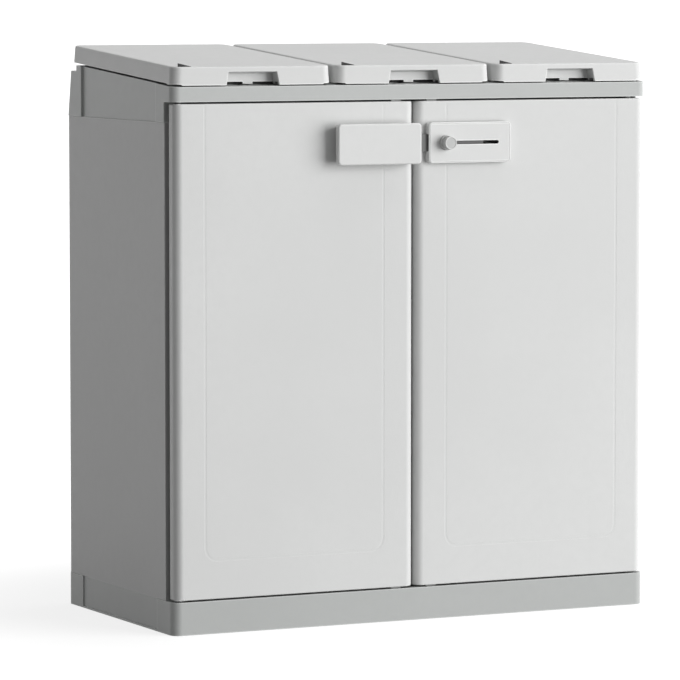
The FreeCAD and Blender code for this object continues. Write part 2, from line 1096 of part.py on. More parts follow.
def make_lid(centre):
    left = centre - lid_width / 2
    right = centre + lid_width / 2
    blank = lid_plan(left, right, 0).common(lid_profile(left, right, 0, 0))
    top_line = lid_air + lid_height
    blank = round_edges(
        blank,
        lid_edge_round,
        lambda edge: all(
            abs(vertex.Point.z - top_height(vertex.Point.y) - top_line) < 0.01
            for vertex in edge.Vertexes
        ),
    )
    hollow_profile = lid_profile(left, right, lid_wall, spare)
    hollow = lid_plan(left, right, lid_wall).common(hollow_profile)
    raised = [
        sloped_block(
            x - lid_corner,
            x + lid_corner,
            lid_front_y - spare,
            lid_back_y + spare,
            -spare,
            lid_air + lid_side_rise,
        )
        for x in (left, right)
    ]
    shell = blank.cut([hollow] + raised)
    inside = [grip_block(centre, grip_wall, lid_air)] + lid_ribs(left, right)
    inside += lid_feet(left, right)
    shell = shell.fuse([piece.common(blank) for piece in inside])
    notches = []
    for x in ear_places():
        if left < x < right:
            half = ear_width / 2 + ear_notch_gap
            notches.append(
                box(
                    x - half,
                    x + half,
                    hinge_y - ear_radius - ear_notch_gap,
                    lid_back_y + spare,
                    hinge_z - lid_back_radius - spare,
                    hinge_z + ear_notch_rise,
                )
            )
    slots = grip_notches(centre, grip_wall + 2, -spare, lid_air + grip_slot)
    shell = round_grip_mouth(shell.cut(grip_block(centre, 0, -spare)), centre)
    shell = shell.cut(notches + slots + grip_side_slots(centre))
    cheeks = []
    for x in ear_places():
        if left < x < right:
            cheeks += [plate.common(blank) for plate in hinge_cheeks(x)]
    shell = shell.fuse(cheeks)
    bores = [
        rod(
            x - ear_width,
            hinge_y,
            hinge_z,
            lid_pin_radius + lid_pin_clearance,
            2 * ear_width,
            (1, 0, 0),
        )
        for x in ear_places()
        if left < x < right
    ]
    return shell.cut(bores + [tag_block(left)]).removeSplitter()


def make_tag(centre):
    return tag_block(centre - lid_width / 2)


def make_lid_pins():
    reach = ear_width / 2 + hinge_cheek_gap + hinge_cheek
    pins = [
        rod(x - reach, hinge_y, hinge_z, lid_pin_radius, 2 * reach, (1, 0, 0))
        for x in ear_places()
    ]
    return Part.makeCompound(pins)


# Doors, drawn on the left and mirrored to the right
door_free_x = -door_gap / 2


def door_plan(grow, y1, z0, z1):
    """The door's outline seen from above, with both front corners rounded."""
    blank = box(
        -door_outer_x - grow,
        door_free_x + grow,
        y_front - grow,
        y_front + 2 * door_free_corner,
        z0,
        z1,
    )
    middle_x = -half_width / 2
    corners = (
        (door_hinge_corner, lambda x: x < middle_x),
        (door_free_corner, lambda x: x > middle_x),
    )
    for radius, wanted in corners:
        blank = round_edges(
            blank,
            radius + grow,
            lambda edge: is_along(edge, (0, 0, 1))
            and wanted(edge.CenterOfMass.x)
            and edge.CenterOfMass.y < y_front + door_free_corner,
        )
    return blank.common(box(-half_width, 0, y_front - spare, y1, z0, z1))


def bead_block(grow):
    """The outline inside the shallow bead that frames the door's front."""
    low = bead_foot - grow
    panel = box(
        -half_width + bead_margin - grow,
        door_free_x - bead_margin + grow,
        y_front - spare,
        y_front + bead_depth,
        low,
        door_top + spare,
    )
    return round_edges(
        panel,
        bead_round + grow,
        lambda edge: is_along(edge, (0, 1, 0)) and edge.CenterOfMass.z < low + 1,
    )


def post_places():
    xs = [
        -half_width + liner_hinge_side + post_margin,
        door_free_x - liner_free_side - post_margin,
    ]
    low = door_bottom + liner_end_gap + post_margin
    high = door_top - liner_end_gap - post_margin
    zs = [low, (low + high) / 2, high]
    return [(x, z) for x in xs for z in zs]


def catch_block(top, grow):
    """A catch peg on the door's top or bottom edge, near its free side."""
    middle = door_free_x - catch_offset + door_gap / 2
    if top:
        low = door_top - catch_seat
        high = frame_rail_bottom - catch_clearance
    else:
        low = base_height + catch_clearance
        high = door_bottom + catch_seat
    return box(
        middle - catch_length / 2 - grow,
        middle + catch_length / 2 + grow,
        y_front + catch_front - grow,
        y_front + catch_front + catch_depth + grow,
        low,
        high,
    )


def door_bosses():
    bosses = []
    for z0, z1 in (
        (door_bottom, door_bottom + door_boss_height),
        (door_top - door_boss_height, door_top),
    ):
        eye = rod(-pivot_x, pivot_y, z0, door_boss_radius, z1 - z0, (0, 0, 1))
        web = box(
            -door_outer_x + door_wall / 2,
            -pivot_x + door_boss_radius,
            y_front + door_wall / 2,
            pivot_y,
            z0,
            z1,
        )
        blank = door_plan(0, pivot_y, z0, z1)
        bosses += [eye, web.common(blank)]
    return bosses


def is_end_edge(edge, back):
    """The door's top and bottom edges, but not those along its back."""
    middle = edge.CenterOfMass
    at_end = min(abs(middle.z - door_bottom), abs(middle.z - door_top)) < 0.01
    return at_end and middle.y < back - 0.01


def make_door_shell(fitting_screw_places, windows):
    back = y_front + door_depth
    blank = door_plan(0, back, door_bottom, door_top)
    blank = round_edges(
        blank,
        door_edge_round,
        lambda edge: is_end_edge(edge, back),
    )
    hollow = door_plan(
        -door_wall, back + spare, door_bottom + door_wall, door_top - door_wall
    )
    posts = [
        rod(
            x,
            y_front + door_wall / 2,
            z,
            post_radius,
            liner_back - liner_wall - door_wall / 2,
            (0, 1, 0),
        )
        for x, z in post_places()
    ]
    additions = posts + door_bosses()
    cuts = [bead_block(bead_width / 2).cut(bead_block(-bead_width / 2))]
    bore = door_pivot_radius + door_pivot_clearance
    cuts.append(
        rod(-pivot_x, pivot_y, door_bottom - spare, bore, door_pin_grip + spare, (0, 0, 1))
    )
    cuts.append(
        rod(-pivot_x, pivot_y, door_top - door_pin_grip, bore, door_pin_grip + spare, (0, 0, 1))
    )
    cuts += [catch_block(top, 0) for top in (False, True)]
    cuts += [screw_hole(x, y_front + liner_back, z, (0, -1, 0)) for x, z in post_places()]
    cuts += [screw_hole(x, y_front + door_wall, z, (0, -1, 0)) for x, z in fitting_screw_places]
    return blank.cut(hollow).fuse(additions).cut(cuts + windows).removeSplitter()


def make_door_liner():
    x0 = -half_width + liner_hinge_side
    x1 = door_free_x - liner_free_side
    z0 = door_bottom + liner_end_gap
    z1 = door_top - liner_end_gap
    front = y_front + liner_front
    back = y_front + liner_back
    body = rounded_box(x0, x1, front, back, z0, z1, liner_corner, (0, 1, 0))
    hollow = rounded_box(
        x0 + liner_wall,
        x1 - liner_wall,
        front - spare,
        back - liner_wall,
        z0 + liner_wall,
        z1 - liner_wall,
        liner_corner - liner_wall,
        (0, 1, 0),
    )
    holes = [screw_hole(x, back, z, (0, -1, 0)) for x, z in post_places()]
    return body.cut(hollow).cut(holes).removeSplitter()


def make_door_screws():
    back = y_front + liner_back
    return Part.makeCompound([screw(x, back, z, (0, -1, 0)) for x, z in post_places()])


def make_catches():
    return Part.makeCompound([catch_block(top, 0) for top in (False, True)])


def make_door_pins():
    pins = []
    for side in (-1, 1):
        x = side * pivot_x
        low = base_height - door_pin_seat
        lower = rod(
            x, pivot_y, low, door_pivot_radius, door_pin_seat + door_pin_grip, (0, 0, 1)
        )
        collar = rod(
            x, pivot_y, base_height, door_collar_radius, door_bottom - base_height, (0, 0, 1)
        )
        high = frame_rail_bottom + door_pin_seat
        length = high - door_top + door_pin_grip - spare / 2
        upper = rod(x, pivot_y, high, door_pivot_radius, length, (0, 0, -1))
        pins += [lower.fuse(collar), upper]
    return Part.makeCompound(pins)


# Handle on the left door: a cup that is open below, beside a keeper for the bolt
handle_right = door_free_x + handle_overhang
handle_left = handle_right - plate_width
keeper_wall_x = handle_right - keeper_depth


def plate_blank(x0, x1, proud, edge_round):
    blank = rounded_box(
        x0, x1, y_front - proud, y_front, plate_low, plate_high, plate_corner, (0, 1, 0)
    )
    return round_edges(
        blank,
        edge_round,
        lambda edge: edge.BoundBox.YMax < y_front - proud + 0.01,
    )


def handle_posts():
    xs = [handle_left + handle_inset + 2 * handle_wall, keeper_wall_x - 2 * handle_wall]
    xs.append(door_free_x - door_free_corner - screw_head_radius - handle_screw_air)
    high = plate_high - handle_inset - handle_wall
    low = plate_low + handle_inset + handle_wall - 1
    return [(xs[0], high), (xs[1], high), (xs[2], high + 1), (xs[2], low)]


def make_handle():
    plate = plate_blank(handle_left, handle_right, handle_proud, handle_edge_round)
    slab = plate.common(
        box(
            handle_left,
            handle_right,
            y_front - handle_proud,
            y_front - handle_proud + handle_slab,
            plate_low,
            plate_high,
        )
    )
    core = rounded_box(
        handle_left + handle_inset,
        handle_right - handle_wall / 2,
        y_front - handle_proud + handle_slab / 2,
        y_front,
        plate_low + handle_inset - handle_wall,
        plate_high - handle_inset + handle_wall,
        plate_corner / 2,
        (0, 1, 0),
    )
    blank = slab.fuse(core)
    cup = box(
        handle_left + handle_inset + handle_wall,
        keeper_wall_x - handle_wall,
        y_front - handle_proud + handle_wall,
        y_front + spare,
        plate_low - spare,
        plate_high - handle_inset,
    )
    keeper = box(
        keeper_wall_x,
        handle_right - handle_wall,
        y_front - handle_proud + handle_wall,
        y_front + spare,
        plate_low + handle_inset,
        plate_high - handle_inset,
    )
    room = bolt_height / 2 + keeper_clearance
    mouth = box(
        handle_right - 2 * handle_wall,
        handle_right + spare,
        bolt_front_y - keeper_clearance,
        y_front + spare,
        plate_middle - room,
        plate_middle + room,
    )
    depth = handle_proud - handle_wall / 2
    posts = [rod(x, y_front, z, handle_post, depth, (0, -1, 0)) for x, z in handle_posts()]
    hollow = blank.cut([cup, keeper, mouth])
    holes = [screw_hole(x, y_front + door_wall, z, (0, -1, 0)) for x, z in handle_posts()]
    return hollow.fuse([post.common(blank) for post in posts]).cut(holes).removeSplitter()


# Lock on the right door: a cover, and a bolt that slides behind it
lock_right = lock_left + plate_width


def lock_posts():
    high = plate_high - 3 * lock_wall
    low = plate_low + 3 * lock_wall
    xs = [lock_left + 3 * lock_wall, lock_right - 3 * lock_wall]
    return [(x, z) for x in xs for z in (low, high)]


def make_lock_cover():
    blank = plate_blank(lock_left, lock_right, lock_proud, lock_edge_round)
    hollow = box(
        lock_left + lock_wall,
        lock_right - lock_wall,
        y_front - lock_proud + lock_wall,
        y_front + spare,
        plate_low + lock_wall,
        plate_high - lock_wall,
    )
    bolt_room = bolt_height / 2 + bolt_clearance
    mouth = box(
        lock_left - spare,
        lock_left + lock_wall + spare,
        y_front - lock_proud + lock_wall,
        y_front + spare,
        plate_middle - bolt_room,
        plate_middle + bolt_room,
    )
    slot = rounded_box(
        knob_x - bolt_travel_in - slot_height / 2,
        slot_end,
        y_front - lock_proud - spare,
        y_front,
        plate_middle - slot_height / 2,
        plate_middle + slot_height / 2,
        slot_height / 2.05,
        (0, 1, 0),
    )
    guides = []
    for side in (-1, 1):
        near = plate_middle + side * bolt_room
        guides.append(
            box(
                lock_left + lock_wall / 2,
                lock_right - lock_wall / 2,
                y_front - lock_proud + lock_wall / 2,
                y_front,
                near,
                near + side * guide_wall,
            )
        )
    depth = lock_proud - lock_wall / 2
    posts = [rod(x, y_front, z, 2 * screw_radius, depth, (0, -1, 0)) for x, z in lock_posts()]
    holes = [screw_hole(x, y_front + door_wall, z, (0, -1, 0)) for x, z in lock_posts()]
    shell = blank.cut([hollow, mouth]).fuse(guides + posts)
    ring = rim_block(rim_groove_inset).cut(rim_block(rim_groove_inset + rim_groove_width))
    return shell.cut([slot, ring] + holes).removeSplitter()


def slot_window():
    """An opening in the door's skin behind the free end of the lock's slot."""
    half = slot_height / 2 + slot_window_margin
    return box(
        bolt_end - slot_window_margin,
        slot_end + slot_window_margin,
        y_front - spare,
        y_front + door_wall + spare,
        plate_middle - half,
        plate_middle + half,
    )


def rim_block(inset):
    """What lies inside a line that follows the lock plate's edge."""
    return rounded_box(
        lock_left + inset,
        lock_right - inset,
        y_front - lock_proud - spare,
        y_front - lock_proud + rim_groove_depth,
        plate_low + inset,
        plate_high - inset,
        plate_corner - inset,
        (0, 1, 0),
    )


def make_bolt():
    bar = rounded_box(
        bolt_tip,
        bolt_end,
        bolt_front_y,
        bolt_front_y + bolt_thickness,
        plate_middle - bolt_height / 2,
        plate_middle + bolt_height / 2,
        bolt_corner,
        (0, 1, 0),
    )
    radius = knob_shank + knob_fit
    mouth_y = bolt_front_y - spare
    hole = rod(knob_x, mouth_y, plate_middle, radius, spare + knob_seat, (0, 1, 0))
    return bar.cut(hole)


def make_knob():
    face = y_front - lock_proud - knob_length
    back = y_front - lock_proud - knob_air
    rim = rod(knob_x, back, plate_middle, knob_radius, knob_rim, (0, -1, 0))
    neck = Part.makeCone(
        knob_radius - 0.6,
        knob_face_radius,
        back - knob_rim - face,
        point(knob_x, back - knob_rim, plate_middle),
        point(0, -1, 0),
    )
    head = rim.fuse(neck)
    head = round_edges(head, 0.8, lambda edge: abs(edge.CenterOfMass.y - face) < 0.01)
    shank = rod(
        knob_x,
        back - 1,
        plate_middle,
        knob_shank,
        bolt_front_y + knob_seat - back + 1,
        (0, 1, 0),
    )
    return head.fuse(shank).removeSplitter()


# Everything, one file for each piece
os.makedirs("parts", exist_ok=True)
save("base_tray", make_base_tray())
side_panel = make_side_panel()
save("side_panel_left", side_panel)
save("side_panel_right", mirrored(side_panel))
back_panel = make_back_panel()
save("back_panel_left", back_panel)
save("back_panel_right", mirrored(back_panel))
save("back_joint_strip", make_joint_strip())
save("base_screws", Part.makeCompound([screw(*place) for place in base_screw_places()]))
save("frame_screws", Part.makeCompound([screw(*place) for place in frame_screw_places()]))
save("strip_screws", Part.makeCompound([screw(*place) for place in strip_screw_places()]))
save("top_frame", make_top_frame())
save("door_hinge_pins", make_door_pins())
save("lid_hinge_pins", make_lid_pins())
for name, centre in zip(lid_names, lid_centres):
    save("bag_frame_" + name, make_bag_frame(centre))
    save("lid_" + name, make_lid(centre))
    save("lid_tag_" + name, make_tag(centre))

save("door_left_shell", make_door_shell(handle_posts(), []))
right_door_screws = [(-x, z) for x, z in lock_posts()]
save("door_right_shell", mirrored(make_door_shell(right_door_screws, [mirrored(slot_window())])))
liner = make_door_liner()
door_screws = make_door_screws()
catches = make_catches()
for side, place in (("left", lambda shape: shape), ("right", mirrored)):
    save("door_" + side + "_liner", place(liner))
    save("door_" + side + "_screws", place(door_screws))
    save("door_" + side + "_catches", place(catches))

screw_face = y_front + door_wall
save("handle", make_handle())
save("lock_cover", make_lock_cover())
for name, posts in (("handle", handle_posts()), ("lock", lock_posts())):
    screws = [screw(x, screw_face, z, (0, -1, 0)) for x, z in posts]
    save(name + "_screws", Part.makeCompound(screws))
save("lock_bolt", make_bolt())
save("lock_knob", make_knob())
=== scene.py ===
import math

import bmesh
import bpy
from mathutils import Matrix, Vector


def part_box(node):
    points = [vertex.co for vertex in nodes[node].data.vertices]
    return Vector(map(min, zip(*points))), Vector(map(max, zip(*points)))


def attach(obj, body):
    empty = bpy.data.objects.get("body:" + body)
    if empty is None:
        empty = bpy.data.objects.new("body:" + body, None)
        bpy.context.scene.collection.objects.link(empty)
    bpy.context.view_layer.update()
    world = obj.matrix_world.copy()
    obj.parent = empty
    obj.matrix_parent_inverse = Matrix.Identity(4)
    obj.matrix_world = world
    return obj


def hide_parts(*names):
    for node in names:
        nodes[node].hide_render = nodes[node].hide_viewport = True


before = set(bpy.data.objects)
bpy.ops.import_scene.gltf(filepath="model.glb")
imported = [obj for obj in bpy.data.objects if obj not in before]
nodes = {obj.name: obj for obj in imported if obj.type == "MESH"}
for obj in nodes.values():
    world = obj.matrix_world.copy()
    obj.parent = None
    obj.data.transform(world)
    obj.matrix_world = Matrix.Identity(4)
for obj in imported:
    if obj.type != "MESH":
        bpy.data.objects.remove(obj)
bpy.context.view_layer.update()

# Lengths are in metres.

# The camera stands far in front, to the left and a little above the lids.
CAMERA_PLACE = (-3.5877, -7.2390, 1.1318)
CAMERA_TURN = math.radians(26.1169)
CAMERA_DIP = math.radians(4.6149)
FOCAL_PIXELS = 4501.0
IMAGE_PIXELS = 680
SENSOR_MILLIMETRES = 36.0
CLIP_START = 0.1
CLIP_END = 500


def make_camera():
    level = Vector((math.sin(CAMERA_TURN), math.cos(CAMERA_TURN), 0))
    aim = level * math.cos(CAMERA_DIP) - Vector((0, 0, math.sin(CAMERA_DIP)))
    data = bpy.data.cameras.new("camera")
    data.sensor_width = SENSOR_MILLIMETRES
    data.lens = FOCAL_PIXELS / IMAGE_PIXELS * SENSOR_MILLIMETRES
    data.clip_start = CLIP_START
    data.clip_end = CLIP_END
    camera = bpy.data.objects.new("camera", data)
    camera.location = CAMERA_PLACE
    camera.rotation_euler = aim.to_track_quat("-Z", "Y").to_euler()
    bpy.context.scene.collection.objects.link(camera)
    bpy.context.scene.camera = camera


def area_light(name, place, target, size, power, mirrored=True):
    """A flat light that faces a target. One that isn't mirrored leaves no glare."""
    data = bpy.data.lights.new(name, "AREA")
    data.shape = "RECTANGLE"
    data.size, data.size_y = size
    data.energy = power
    light = bpy.data.objects.new(name, data)
    light.location = place
    direction = Vector(target) - Vector(place)
    light.rotation_euler = direction.to_track_quat("-Z", "Y").to_euler()
    light.visible_glossy = mirrored
    bpy.context.scene.collection.objects.link(light)


def make_lights():
    """A broad light from the right front, a soft one above and a faint one behind."""
    area_light(
        "key_light",
        place=(8.0, -8.2, 1.9),
        target=(0, -0.2, 1.5),
        size=(10.5, 9.0),
        power=1765,
        mirrored=False,
    )
    area_light(
        "top_light",
        place=(0.8, -0.2, 4.0),
        target=(0, -0.2, 0),
        size=(3.0, 3.0),
        power=34,
    )
    area_light(
        "rim_light",
        place=(-5.6, 10.4, 1.8),
        target=(-0.4, 0, 0.6),
        size=(6.0, 3.6),
        power=46,
    )


# Shader maths
EDGE_SAMPLES = 4
NOOK_SAMPLES = 6


class Wire:
    """A shader socket that can be used in sums like a number."""

    def __init__(self, graph, socket):
        self.graph = graph
        self.socket = socket

    def _math(self, operation, first, second):
        values = {0: first, 1: second}
        return self.graph.node("ShaderNodeMath", {"operation": operation}, values)

    def __add__(self, other):
        return self._math("ADD", self, other)

    def __radd__(self, other):
        return self._math("ADD", other, self)

    def __sub__(self, other):
        return self._math("SUBTRACT", self, other)

    def __rsub__(self, other):
        return self._math("SUBTRACT", other, self)

    def __mul__(self, other):
        return self._math("MULTIPLY", self, other)

    def __rmul__(self, other):
        return self._math("MULTIPLY", other, self)

    def at_least(self, other):
        return self._math("MAXIMUM", self, other)

    def at_most(self, other):
        return self._math("MINIMUM", self, other)

    def spread(self, low, high, new_low=0.0, new_high=1.0):
        """Eases what lies between low and high over a new range."""
        settings = {"interpolation_type": "SMOOTHSTEP"}
        values = {"Value": self, "From Min": low, "From Max": high}
        values.update({"To Min": new_low, "To Max": new_high})
        return self.graph.node("ShaderNodeMapRange", settings, values)


class Graph:
    """The nodes of a material or of the world."""

    def __init__(self, owner, output="ShaderNodeOutputMaterial"):
        owner.use_nodes = True
        self.owner = owner
        self.output = output
        self.tree = owner.node_tree
        self.tree.nodes.clear()

    def node(self, kind, settings=None, values=None, output=0):
        """Makes a node and gives one of its outputs, where it has any."""
        made = self.tree.nodes.new(kind)
        for key, setting in (settings or {}).items():
            setattr(made, key, setting)
        for key, value in (values or {}).items():
            if isinstance(value, Wire):
                self.tree.links.new(value.socket, made.inputs[key])
            else:
                made.inputs[key].default_value = value
        return Wire(self, made.outputs[output]) if made.outputs else None

    def place(self):
        return self.node("ShaderNodeTexCoord", output="Object")

    def noise(self, scale, detail=2.0, roughness=0.5):
        values = {"Vector": self.place(), "Scale": scale}
        values.update({"Detail": detail, "Roughness": roughness})
        return self.node("ShaderNodeTexNoise", {}, values)

    def cells(self, scale):
        values = {"Vector": self.place(), "Scale": scale}
        return self.node("ShaderNodeTexVoronoi", {}, values)

    def blend(self, factor, first, second):
        settings = {"data_type": "RGBA"}
        return self.node("ShaderNodeMix", settings, {0: factor, 6: first, 7: second}, output=2)

    def rounded(self, radius):
        """The surface's normal, with its edges rounded off."""
        return self.node("ShaderNodeBevel", {"samples": EDGE_SAMPLES}, {"Radius": radius})

    def turned(self, normal):
        """How far a normal leans from the true one: 0 on a flat, more at an edge."""
        true_normal = self.node("ShaderNodeNewGeometry", output="Normal")
        settings = {"operation": "DOT_PRODUCT"}
        values = {0: normal, 1: true_normal}
        facing = self.node("ShaderNodeVectorMath", settings, values, output="Value")
        return (1 - facing).at_least(0.0)

    def openness(self, reach, **settings):
        """How free the surface is of others within a reach: 1 where nothing is near."""
        settings["samples"] = NOOK_SAMPLES
        return self.node("ShaderNodeAmbientOcclusion", settings, {"Distance": reach}, "AO")

    def nooks(self, reach):
        """How hidden the surface is: 0 in the open, towards 1 deep in a corner or a gap."""
        return 1 - self.openness(reach)

    def rims(self, reach):
        """How much the solid ends within a reach below the surface: more along an edge."""
        return 1 - self.openness(reach, inside=True, only_local=True)

    def bump(self, height, strength, depth, normal):
        values = {"Height": height, "Strength": strength, "Distance": depth, "Normal": normal}
        return self.node("ShaderNodeBump", {}, values)

    def direct(self):
        """1 where the surface is looked at, also in a mirror or through glass."""
        seen, glossy, through = (
            self.node("ShaderNodeLightPath", output=ray)
            for ray in ("Is Camera Ray", "Is Glossy Ray", "Is Transmission Ray")
        )
        return seen.at_least(glossy).at_least(through)

    def finish(self, shader):
        """Puts a shader on the surface and gives the finished material or world."""
        self.node(self.output, {}, {"Surface": shader})
        return self.owner


def tinted(colour, tone):
    """A colour made paler or darker, with its alpha."""
    red, green, blue = colour
    return (red * tone, green * tone, blue * tone, 1.0)


# Moulded plastic. A scale counts patches along a metre, a tone multiplies the colour, a share
# is how much of that tone shows, and a spread is the part of a pattern that is used.
NOISE_MIDDLE = 0.5
CLOUD_SCALE = 2.2
CLOUD_SPREAD = (0.3, 0.7)
CLOUD_DARK = 0.975
CLOUD_PALE = 1.02
FLECK_SCALE = 60.0
FLECK_SPREAD = (0.35, 0.75)
FLECK_SHARE = 0.35
FLECK_TONE = 0.965
FLECK_ROUGHNESS = 0.12
RUB_SCALE = 35.0
RUB_SPREAD = (0.45, 0.7)
RUB_GAIN = 3.0
RUB_SHARE = 0.35
RUB_TONE = 1.12
RUB_POLISH = 0.08
# The rim constants paint a highlight, a paler band along convex edges.
RIM_REACH = 0.0022
RIM_GAIN = 3.6
RIM_SHARE = 0.8
PAINTED_HIGHLIGHT_TONE = 1.4
# The nook constants paint shade into corners, gaps and under things.
NOOK_REACH = 0.021
NOOK_SPREAD = (0.05, 0.95)
NOOK_SHARE = 0.38
NOOK_FAINT = 0.14
PAINTED_SHADE_TONE = 0.25
# The seam constants paint shade into narrow seams and gaps between parts.
SEAM_REACH = 0.0045
SEAM_SPREAD = (0.2, 0.9)
SEAM_SHARE = 0.6
SEAM_FAINT = 0.2
PIT_SCALE = 620.0
PIT_SHARE = 0.6
POWDER_SCALE = 1500.0
POWDER_SHARE = 0.4
GRAIN_STRENGTH = 0.35
GRAIN_DEPTH = 0.00025
WAVE_SCALE = 9.0
WAVE_STRENGTH = 0.25
WAVE_DEPTH = 0.0008
SOFT_EDGE = 0.0012
CRISP_EDGE = 0.0004
KNOB_EDGE = 0.0003
PLASTIC_IOR = 1.5


def moulded_plastic(name, colour, roughness, grain=1.0, edge_radius=SOFT_EDGE,
                    nook=NOOK_SHARE, seam=SEAM_SHARE):
    """Plastic with fine grain, faint clouds, rubbed edges, a painted highlight along its edges and
    painted shade in its nooks and seams.
    """
    graph = Graph(bpy.data.materials.new(name))
    cloud = graph.noise(CLOUD_SCALE, detail=3.0, roughness=0.55)
    fleck = graph.noise(FLECK_SCALE, detail=4.0, roughness=0.6)
    patches = graph.noise(RUB_SCALE, detail=3.0)
    normal = graph.rounded(edge_radius)
    rubbed = (graph.turned(normal) * RUB_GAIN).at_most(1.0) * patches.spread(*RUB_SPREAD)
    # The paler rim along convex edges is a painted highlight.
    rim = (graph.rims(RIM_REACH) * RIM_GAIN).at_most(1.0)
    # The darker tone in corners, gaps and under things is painted shade.
    nook_shade = graph.nooks(NOOK_REACH).spread(*NOOK_SPREAD)
    # The darker tone in narrow seams and gaps between parts is painted shade.
    seam_shade = graph.nooks(SEAM_REACH).spread(*SEAM_SPREAD)
    layers = (
        (fleck.spread(*FLECK_SPREAD) * FLECK_SHARE, FLECK_TONE),
        (rubbed * RUB_SHARE, RUB_TONE),
        (rim * RIM_SHARE, PAINTED_HIGHLIGHT_TONE),
        (nook_shade * nook, PAINTED_SHADE_TONE),
        (seam_shade * seam, PAINTED_SHADE_TONE),
    )
    pale, dark = tinted(colour, CLOUD_PALE), tinted(colour, CLOUD_DARK)
    base = graph.blend(cloud.spread(*CLOUD_SPREAD), dark, pale)
    for mask, tone in layers:
        base = graph.blend(mask, base, tinted(colour, tone))
    rough = roughness + (fleck - NOISE_MIDDLE) * FLECK_ROUGHNESS - rubbed * RUB_POLISH
    pits = graph.cells(PIT_SCALE) * PIT_SHARE + graph.noise(POWDER_SCALE) * POWDER_SHARE
    normal = graph.bump(pits, GRAIN_STRENGTH * grain, GRAIN_DEPTH, normal)
    normal = graph.bump(graph.noise(WAVE_SCALE), WAVE_STRENGTH, WAVE_DEPTH, normal)
    values = {"Base Color": base, "Roughness": rough, "Normal": normal, "IOR": PLASTIC_IOR}
    return graph.finish(graph.node("ShaderNodeBsdfPrincipled", {}, values))


STEEL_DULL = (0.55, 0.55, 0.52)
STEEL_BRIGHT = (0.68, 0.68, 0.66)
STEEL_ROUGHNESS = 0.3
STREAK_SCALE = 400.0
STREAK_ROUGHNESS = 0.15


def plated_steel(name):
    """Steel with a dull plating, a little patchy."""
    graph = Graph(bpy.data.materials.new(name))
    streak = graph.noise(STREAK_SCALE, detail=3.0)
    base = graph.blend(streak, tinted(STEEL_DULL, 1.0), tinted(STEEL_BRIGHT, 1.0))
    rough = STEEL_ROUGHNESS + streak * STREAK_ROUGHNESS
    values = {"Base Color": base, "Roughness": rough, "Metallic": 1.0}
    values["Normal"] = graph.rounded(CRISP_EDGE)
    return graph.finish(graph.node("ShaderNodeBsdfPrincipled", {}, values))


LIGHT_GREY = (0.655, 0.660, 0.655)
# A little paler than the light grey: painted light that lifts the handle and lock plates.
PLATE_GREY = (0.680, 0.685, 0.680)
LOCK_GREY = (0.190, 0.192, 0.190)
KNOB_GREY = (0.520, 0.525, 0.520)
CATCH_GREY = (0.500, 0.505, 0.500)
MID_GREY = (0.480, 0.492, 0.485)
# Darker than the mid grey of the same plastic: painted shade for the base near the floor.
SHADED_BASE_GREY = (0.442, 0.453, 0.446)
SIDE_GREY = (0.480, 0.482, 0.480)
DARK_GREY = (0.060, 0.060, 0.060)
TAG_GREY = (0.022, 0.022, 0.022)
PIN_GREY = (0.250, 0.255, 0.250)

crisp = {"edge_radius": CRISP_EDGE}
# These settings paint less shade into nooks and seams.
faint = {"nook": NOOK_FAINT, "seam": SEAM_FAINT}
faint_seam = {"seam": SEAM_FAINT}
light_plastic = moulded_plastic("light_moulded_plastic", LIGHT_GREY, 0.40)
lid_plastic = moulded_plastic("lid_moulded_plastic", LIGHT_GREY, 0.40, **faint)
plate_plastic = moulded_plastic("plate_moulded_plastic", PLATE_GREY, 0.40, **crisp, **faint)
lock_plastic = moulded_plastic("lock_moulded_plastic", LOCK_GREY, 0.44, grain=0.8, **crisp)
knob_plastic = moulded_plastic(
    "knob_moulded_plastic", KNOB_GREY, 0.42, grain=0.8, edge_radius=KNOB_EDGE, **faint
)
catch_plastic = moulded_plastic("catch_moulded_plastic", CATCH_GREY, 0.50, grain=0.8, **crisp)
mid_plastic = moulded_plastic("mid_moulded_plastic", MID_GREY, 0.42, **faint_seam)
base_plastic = moulded_plastic("base_moulded_plastic", SHADED_BASE_GREY, 0.42, **faint_seam)
side_plastic = moulded_plastic("side_panel_plastic", SIDE_GREY, 0.42)
# Near-black plastic for the bag frame, made so dark that it also paints the shade seen through the
# slots of the lids' finger recesses.
dark_plastic = moulded_plastic("dark_plastic", DARK_GREY, 0.50)
tag_plastic = moulded_plastic("tag_plastic", TAG_GREY, 0.55)
pin_plastic = moulded_plastic("pin_plastic", PIN_GREY, 0.35, grain=0.3)
screw_steel = plated_steel("zinc_steel")

# The first word that a node's name holds gives its material.
PAINTS = (
    ("screws", screw_steel),
    ("pins", pin_plastic),
    ("catches", catch_plastic),
    ("side_panel", side_plastic),
    ("back_", side_plastic),
    ("top_frame", mid_plastic),
    ("base_tray", base_plastic),
    ("bag_frame", dark_plastic),
    ("lid_tag", tag_plastic),
    ("lid_", lid_plastic),
    ("lock_bolt", lock_plastic),
    ("lock_knob", lock_plastic),
    ("lock_cover", plate_plastic),
    ("handle", plate_plastic),
    ("door_", light_plastic),
)


def paint_all():
    for name in nodes:
        material = next(material for word, material in PAINTS if word in name)
        mesh = nodes[name].data
        mesh.materials.clear()
        mesh.materials.append(material)


# Pieces
MERGE_GAP = 1e-6
SMOOTH_ANGLE = math.radians(32)


def spots(part):
    """The places of a vertex's, an edge's or a face's points, as a key to sort by."""
    return sorted(tuple(vert.co) for vert in getattr(part, "verts", [part]))


def put_in_order(shape):
    """Sorts a bmesh by place, because some operators leave another order each run."""
    for parts in (shape.verts, shape.edges, shape.faces):
        for rank, part in enumerate(sorted(parts, key=spots)):
            part.index = rank
        parts.sort()


